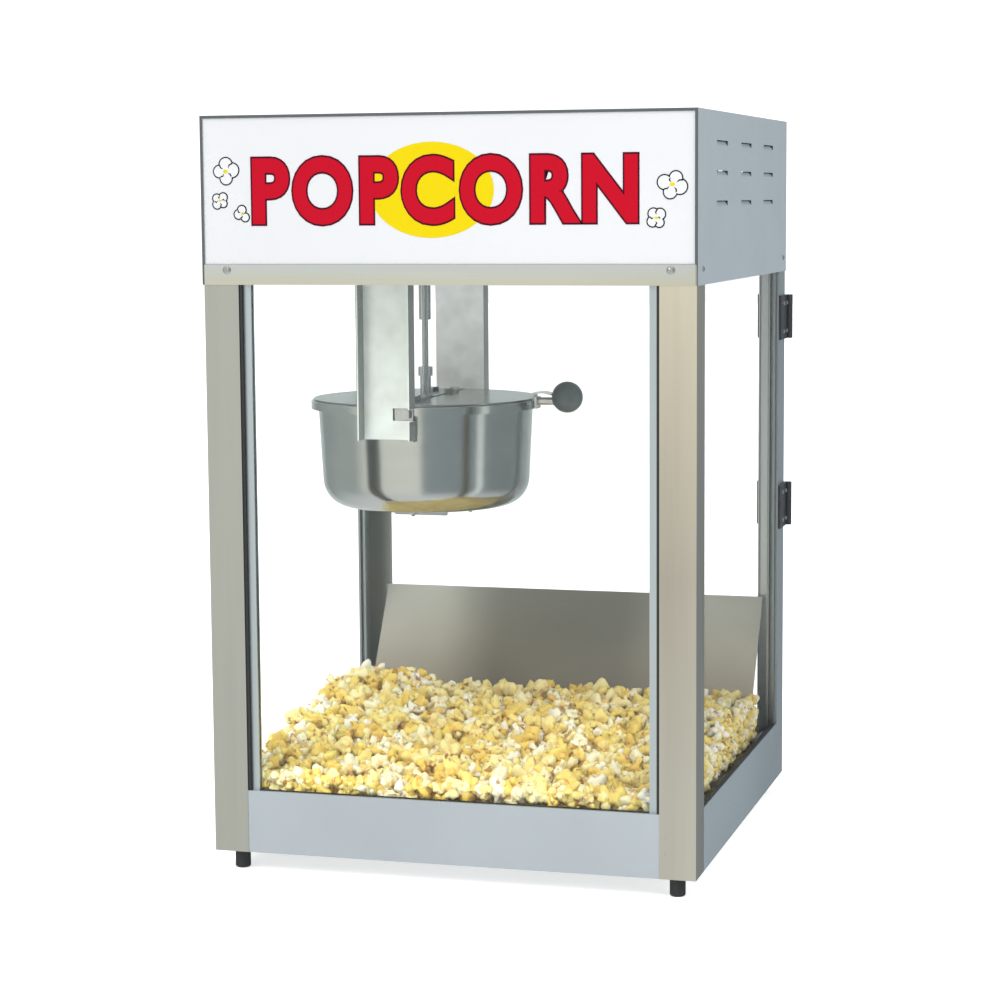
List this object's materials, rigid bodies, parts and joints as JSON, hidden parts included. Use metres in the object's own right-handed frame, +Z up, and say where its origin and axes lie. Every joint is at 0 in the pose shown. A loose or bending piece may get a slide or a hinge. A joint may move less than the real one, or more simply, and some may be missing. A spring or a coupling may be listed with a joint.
{
  "type": "popcorn cart",
  "caption": "Counter-top popcorn machine: glazed square cabinet with lit sign head, tilting hung kettle with stirrer, flap lids and ball handle, rear door and crumb drawer.",
  "frame": {"origin": "on the counter under the middle of the cabinet, level with the undersides of the feet", "axes": "+X to the operator's customer-side right, +Y to the back (door side), +Z up"},
  "size_m": [0.5197, 0.5204, 0.7764],
  "materials": {
    "stainless": "brushed, vertical grain",
    "satin_aluminium": "satin",
    "grey_cover": "satin powder coat",
    "galvanized": "dull, faintly mottled",
    "steel_bright": "bright",
    "motor_enamel": "satin enamel",
    "clear_glass": "clear",
    "clear_acrylic": "clear",
    "white_sign": "gloss, printed",
    "black_rubber": "matte",
    "black_plastic": "fine moulded texture",
    "knob_phenolic": "polished",
    "heater_alloy": "oxidised",
    "porcelain": "glazed",
    "bulb_glass": "frosted",
    "popcorn": "dry, matt"
  },
  "bodies": {
    "cabinet": {"agitator_motor": "motor_enamel", "base_pan": "galvanized", "casing_screws": "steel_bright", "ceiling_pan": "galvanized", "corn_deck": "stainless", "door_magnet": "black_plastic", "frame_bolts": "steel_bright", "front_apron": "satin_aluminium", "front_glazing_channels": "satin_aluminium", "glass_front": "clear_glass", "glass_left": "clear_glass", "glass_right": "clear_glass", "glazing_seals": "black_rubber", "head_cover": "grey_cover", "head_rear_panel": "grey_cover", "header_rail": "stainless", "hinge_post_leaves": "black_plastic", "hinge_screws": "steel_bright", "kettle_hanger_front": "galvanized", "kettle_hanger_rear": "galvanized", "lamp_bulb": "bulb_glass", "lamp_socket": "porcelain", "lead_gland": "black_plastic", "left_glazing_channels": "satin_aluminium", "motor_gearbox": "steel_bright", "popcorn_heap": "popcorn", "post_front_left": "stainless", "post_front_right": "stainless", "post_rear_left": "stainless", "post_rear_right": "stainless", "rear_apron": "satin_aluminium", "rear_ramp": "stainless", "right_glazing_channels": "satin_aluminium", "rubber_feet": "black_rubber", "side_rail_left": "satin_aluminium", "side_rail_right": "satin_aluminium", "sign_panel": "white_sign", "switch_bezels": "black_plastic"},
    "kettle": {"kettle_jacket": "stainless", "kettle_pan": "stainless", "heater_ring": "heater_alloy", "kettle_trunnions": "stainless", "lid_crossbar": "stainless", "shaft_bushing": "steel_bright", "kettle_handle": "stainless", "handle_knob": "knob_phenolic", "kettle_nuts": "steel_bright"},
    "left_flap": {"lid_left": "stainless"},
    "right_flap": {"lid_right": "stainless"},
    "agitator": {"agitator_shaft": "steel_bright", "agitator_blades": "stainless"},
    "drive": {"drive_coupling": "steel_bright"},
    "door": {"rear_door": "clear_acrylic", "hinge_door_leaves": "black_plastic", "door_pull": "stainless"},
    "drawer": {"old_maid_drawer": "stainless", "drawer_pull": "stainless"},
    "heat_switch": {"heat_rocker": "black_plastic"},
    "motor_switch": {"motor_rocker": "black_plastic"},
    "light_switch": {"light_rocker": "black_plastic"}
  },
  "joints": [
    {"name": "kettle_tilt", "type": "hinge", "parent": "cabinet", "child": "kettle", "pos_m": [-0.084, 0, 0.4675], "axis": [0, 1, 0], "range_deg": [0, 95]},
    {"name": "left_flap_hinge", "type": "hinge", "parent": "kettle", "child": "left_flap", "pos_m": [-0.114, 0, 0.48], "axis": [0, 1, 0], "range_deg": [0, 80]},
    {"name": "right_flap_hinge", "type": "hinge", "parent": "kettle", "child": "right_flap", "pos_m": [-0.086, 0, 0.48], "axis": [0, -1, 0], "range_deg": [0, 80]},
    {"name": "agitator_spin", "type": "hinge", "parent": "kettle", "child": "agitator", "pos_m": [-0.1, 0, 0.45], "axis": [0, 0, 1], "continuous": true},
    {"name": "drive_spin", "type": "hinge", "parent": "cabinet", "child": "drive", "pos_m": [-0.1, 0, 0.62], "axis": [0, 0, 1], "continuous": true},
    {"name": "door_swing", "type": "hinge", "parent": "cabinet", "child": "door", "pos_m": [0.2585, 0.2585, 0.4], "axis": [0, 0, -1], "range_deg": [0, 170]},
    {"name": "drawer_slide", "type": "slide", "parent": "cabinet", "child": "drawer", "axis": [0, 1, 0], "range_m": [0, 0.2]},
    {"name": "heat_switch_rock", "type": "hinge", "parent": "cabinet", "child": "heat_switch", "pos_m": [-0.06, 0.252, 0.69], "axis": [-1, 0, 0], "range_deg": [0, 20]},
    {"name": "motor_switch_rock", "type": "hinge", "parent": "cabinet", "child": "motor_switch", "pos_m": [-0.02, 0.252, 0.69], "axis": [-1, 0, 0], "range_deg": [0, 20]},
    {"name": "light_switch_rock", "type": "hinge", "parent": "cabinet", "child": "light_switch", "pos_m": [0.02, 0.252, 0.69], "axis": [-1, 0, 0], "range_deg": [0, 20]}
  ],
  "couplings": [
    {"joint": "agitator_spin", "follows": "drive_spin", "ratio": 1}
  ]
}
